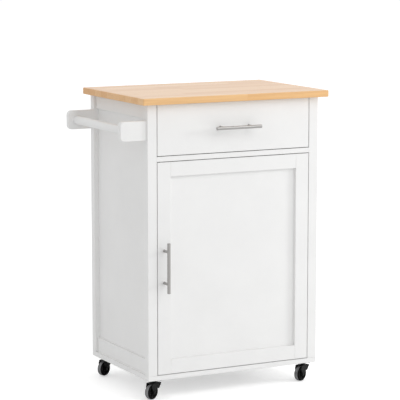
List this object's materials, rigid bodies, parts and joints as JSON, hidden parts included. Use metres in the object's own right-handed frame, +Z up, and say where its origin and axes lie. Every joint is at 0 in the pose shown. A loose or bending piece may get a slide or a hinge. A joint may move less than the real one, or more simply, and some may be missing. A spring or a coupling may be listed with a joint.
{
  "type": "kitchen island cart",
  "caption": "Rolling kitchen island cart: wooden worktop on a white frame-and-panel cabinet with a drawer, a hinged door, a side towel rail and swivel casters with brakes.",
  "frame": {"origin": "on the floor, under the middle of the whole cart's outline, towel rail and handles included", "axes": "+Z up; the drawer and door face -Y; the towel rail is on the -X side"},
  "size_m": [0.68, 0.441, 0.9],
  "materials": {
    "worktop_wood": "oiled pale hardwood staves, satin",
    "white_paint": "smooth white paint on solid wood, satin",
    "white_board": "white faced board, matt",
    "drawer_ply": "thin sanded plywood, matt",
    "handle_steel": "satin nickel",
    "slide_steel": "zinc plated, satin",
    "hinge_steel": "nickel plated, satin",
    "screw_steel": "zinc plated",
    "catch_plastic": "white moulded plastic, matt",
    "caster_steel": "black enamel, semi-gloss",
    "wheel_rubber": "black tread and hub, satin",
    "pedal_plastic": "black moulded plastic, matt"
  },
  "bodies": {
    "cabinet": {"worktop": "worktop_wood", "post_front_left": "white_paint", "post_front_right": "white_paint", "post_back_left": "white_paint", "post_back_right": "white_paint", "side_panel_left": "white_paint", "side_panel_right": "white_paint", "side_top_rail_left": "white_paint", "side_top_rail_right": "white_paint", "side_bottom_rail_left": "white_paint", "side_bottom_rail_right": "white_paint", "back_panel": "white_board", "stretcher_front": "white_paint", "stretcher_back": "white_paint", "middle_rail": "white_paint", "base_board": "white_paint", "shelf": "white_board", "shelf_pins": "screw_steel", "worktop_screws": "screw_steel", "towel_arm_front": "white_paint", "towel_arm_back": "white_paint", "towel_bar": "white_paint", "towel_arm_screws": "screw_steel", "slide_channel_left": "slide_steel", "slide_channel_right": "slide_steel", "magnetic_catch": "catch_plastic", "hinge_arms": "hinge_steel", "caster_screws": "screw_steel", "caster_plate_front_left": "caster_steel", "caster_plate_front_right": "caster_steel", "caster_plate_back_left": "caster_steel", "caster_plate_back_right": "caster_steel"},
    "drawer": {"drawer_front": "white_paint", "drawer_side_left": "white_board", "drawer_side_right": "white_board", "drawer_back": "white_board", "drawer_bottom": "drawer_ply", "drawer_runner_left": "slide_steel", "drawer_runner_right": "slide_steel", "drawer_handle": "handle_steel", "drawer_handle_screws": "screw_steel"},
    "door": {"door_stile_left": "white_paint", "door_stile_right": "white_paint", "door_rail_top": "white_paint", "door_rail_bottom": "white_paint", "door_panel": "white_paint", "door_handle": "handle_steel", "door_handle_screws": "screw_steel", "hinge_cups": "hinge_steel", "strike_plate": "hinge_steel"},
    "fork_front_left": {"caster_fork_front_left": "caster_steel"},
    "wheel_front_left": {"caster_wheel_front_left": "wheel_rubber"},
    "pedal_left": {"brake_pedal_left": "pedal_plastic"},
    "fork_front_right": {"caster_fork_front_right": "caster_steel"},
    "wheel_front_right": {"caster_wheel_front_right": "wheel_rubber"},
    "pedal_right": {"brake_pedal_right": "pedal_plastic"},
    "fork_back_left": {"caster_fork_back_left": "caster_steel"},
    "wheel_back_left": {"caster_wheel_back_left": "wheel_rubber"},
    "fork_back_right": {"caster_fork_back_right": "caster_steel"},
    "wheel_back_right": {"caster_wheel_back_right": "wheel_rubber"}
  },
  "joints": [
    {"name": "drawer_slide", "type": "slide", "parent": "cabinet", "child": "drawer", "axis": [0, -1, 0], "range_m": [0, 0.25]},
    {"name": "door_hinge", "type": "hinge", "parent": "cabinet", "child": "door", "pos_m": [0.284, -0.1855, 0.393], "axis": [0, 0, 1], "range_deg": [0, 105]},
    {"name": "swivel_front_left", "type": "hinge", "parent": "cabinet", "child": "fork_front_left", "pos_m": [-0.225, -0.1545, 0.05], "axis": [0, 0, 1], "continuous": true},
    {"name": "spin_front_left", "type": "hinge", "parent": "fork_front_left", "child": "wheel_front_left", "pos_m": [-0.23316, -0.1583, 0.0225], "axis": [-0.4226, 0.9063, 0], "continuous": true},
    {"name": "brake_left", "type": "hinge", "parent": "fork_front_left", "child": "pedal_left", "pos_m": [-0.21548, -0.15006, 0.0415], "axis": [-0.4226, 0.9063, 0], "range_deg": [0, 15]},
    {"name": "swivel_front_right", "type": "hinge", "parent": "cabinet", "child": "fork_front_right", "pos_m": [0.285, -0.1545, 0.05], "axis": [0, 0, 1], "continuous": true},
    {"name": "spin_front_right", "type": "hinge", "parent": "fork_front_right", "child": "wheel_front_right", "pos_m": [0.27684, -0.1583, 0.0225], "axis": [-0.4226, 0.9063, 0], "continuous": true},
    {"name": "brake_right", "type": "hinge", "parent": "fork_front_right", "child": "pedal_right", "pos_m": [0.29452, -0.15006, 0.0415], "axis": [-0.4226, 0.9063, 0], "range_deg": [0, 15]},
    {"name": "swivel_back_left", "type": "hinge", "parent": "cabinet", "child": "fork_back_left", "pos_m": [-0.225, 0.1855, 0.05], "axis": [0, 0, 1], "continuous": true},
    {"name": "spin_back_left", "type": "hinge", "parent": "fork_back_left", "child": "wheel_back_left", "pos_m": [-0.23316, 0.1817, 0.0225], "axis": [-0.4226, 0.9063, 0], "continuous": true},
    {"name": "swivel_back_right", "type": "hinge", "parent": "cabinet", "child": "fork_back_right", "pos_m": [0.285, 0.1855, 0.05], "axis": [0, 0, 1], "continuous": true},
    {"name": "spin_back_right", "type": "hinge", "parent": "fork_back_right", "child": "wheel_back_right", "pos_m": [0.27684, 0.1817, 0.0225], "axis": [-0.4226, 0.9063, 0], "continuous": true}
  ]
}
